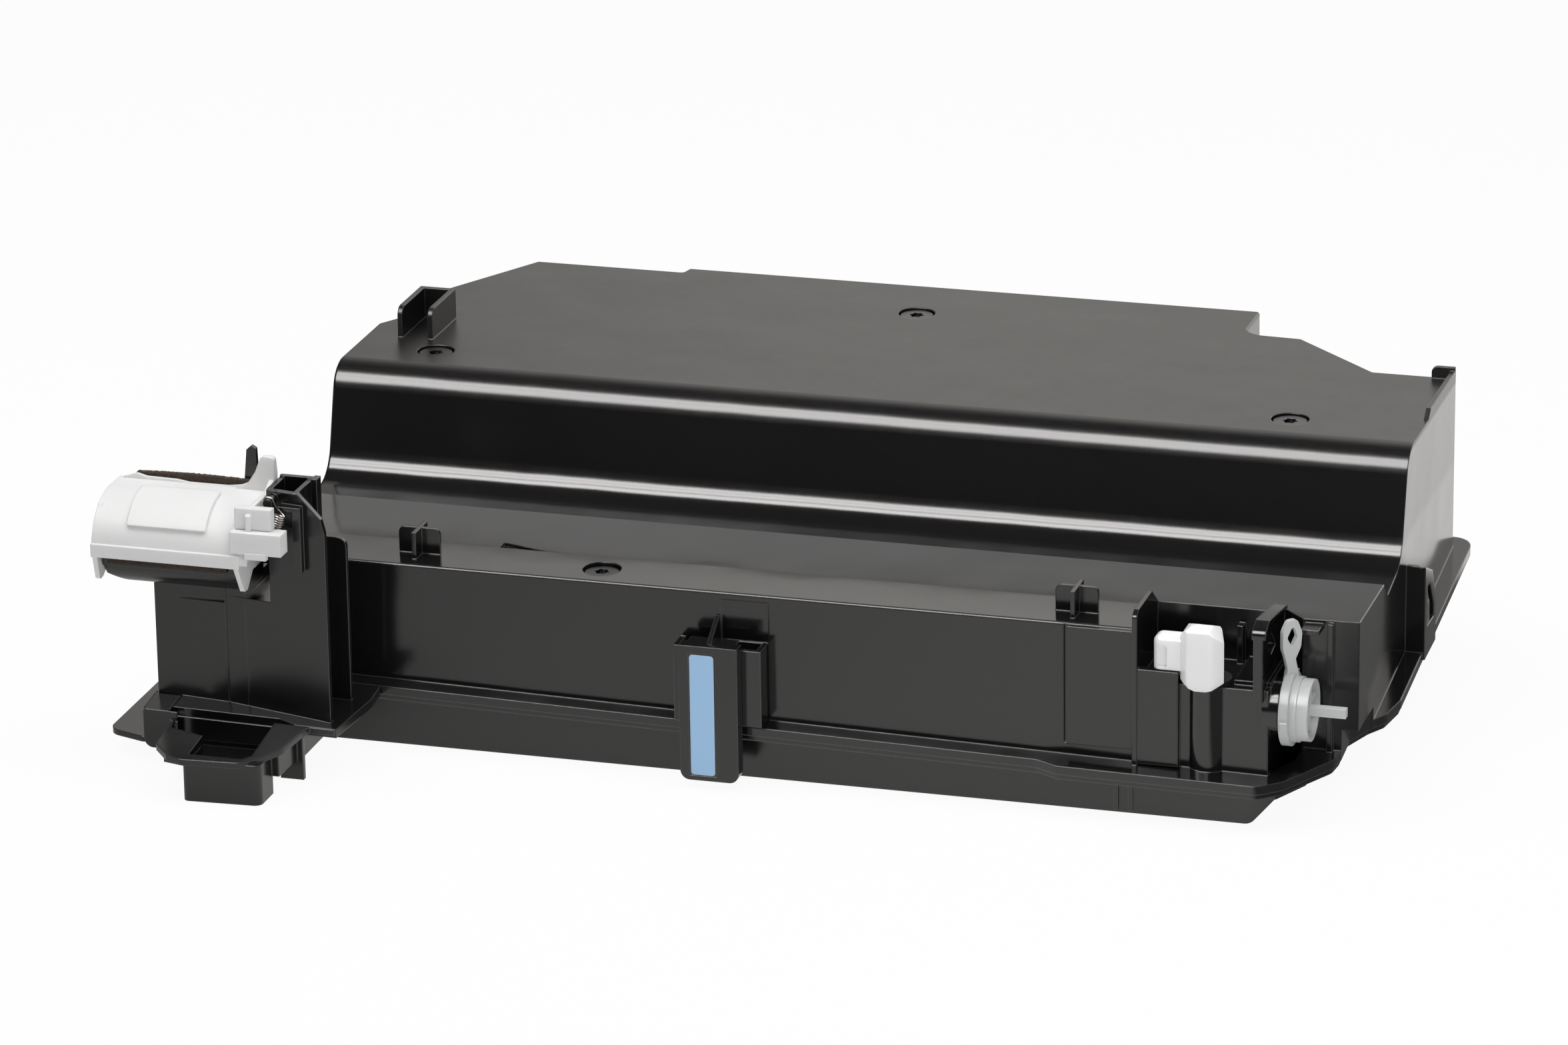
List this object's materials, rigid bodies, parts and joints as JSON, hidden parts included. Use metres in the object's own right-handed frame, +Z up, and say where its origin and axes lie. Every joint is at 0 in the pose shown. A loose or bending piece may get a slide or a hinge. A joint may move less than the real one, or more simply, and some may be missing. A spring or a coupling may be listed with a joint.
{
  "type": "toner collection unit",
  "caption": "Wide flat box with a stepped cover that stores waste toner, fed through a sprung shutter on a tower at its front left corner.",
  "frame": {"origin": "on the base plane, under the middle of the tray's floor", "axes": "+X to the right along the front, +Y to the back, +Z up"},
  "size_m": [0.3899, 0.2836, 0.1015],
  "materials": {
    "cover_black": "fine satin moulding",
    "tray_black": "fine satin moulding",
    "tower_black": "fine satin moulding",
    "gasket_foam": "open foam",
    "port_foam": "open brown foam",
    "shutter_white": "milky low friction moulding",
    "spring_steel": "drawn wire",
    "prism_white": "milky clear moulding",
    "plug_white": "translucent soft moulding",
    "seal_rubber": "soft moulded",
    "label_blue": "printed film",
    "screw_steel": "black oxide",
    "shaft_grey": "plain moulding",
    "bushing_plastic": "plain moulding",
    "coupling_plastic": "plain moulding"
  },
  "bodies": {
    "housing": {"upper_cover": "cover_black", "lower_tray": "tray_black", "seam_gasket": "gasket_foam", "inlet_tower": "tower_black", "tower_seal": "gasket_foam", "port_seal_front": "port_foam", "port_seal_rear": "port_foam", "shutter_spring": "spring_steel", "sensor_prism": "prism_white", "prism_seal": "seal_rubber", "drain_plug": "plug_white", "plug_seal_ring": "seal_rubber", "grip_handle": "tower_black", "touch_label": "label_blue", "cover_screws": "screw_steel", "bushing_left": "bushing_plastic", "bushing_right": "bushing_plastic", "shaft_lip_seal": "seal_rubber"},
    "shutter": {"port_shutter": "shutter_white"},
    "stirrer": {"stirrer_shaft": "shaft_grey", "drive_coupling": "coupling_plastic"}
  },
  "joints": [
    {"name": "shutter_hinge", "type": "hinge", "parent": "housing", "child": "shutter", "pos_m": [-0.182, -0.1315, 0.0698], "axis": [1, 0, 0], "range_deg": [0, 50], "stiffness_Nm_per_rad": 0.02, "springref_deg": -28.65, "deforming": ["shutter_spring"]},
    {"name": "stirrer_turn", "type": "hinge", "parent": "housing", "child": "stirrer", "pos_m": [-0.004, -0.054, 0.036], "axis": [1, 0, 0], "continuous": true}
  ]
}
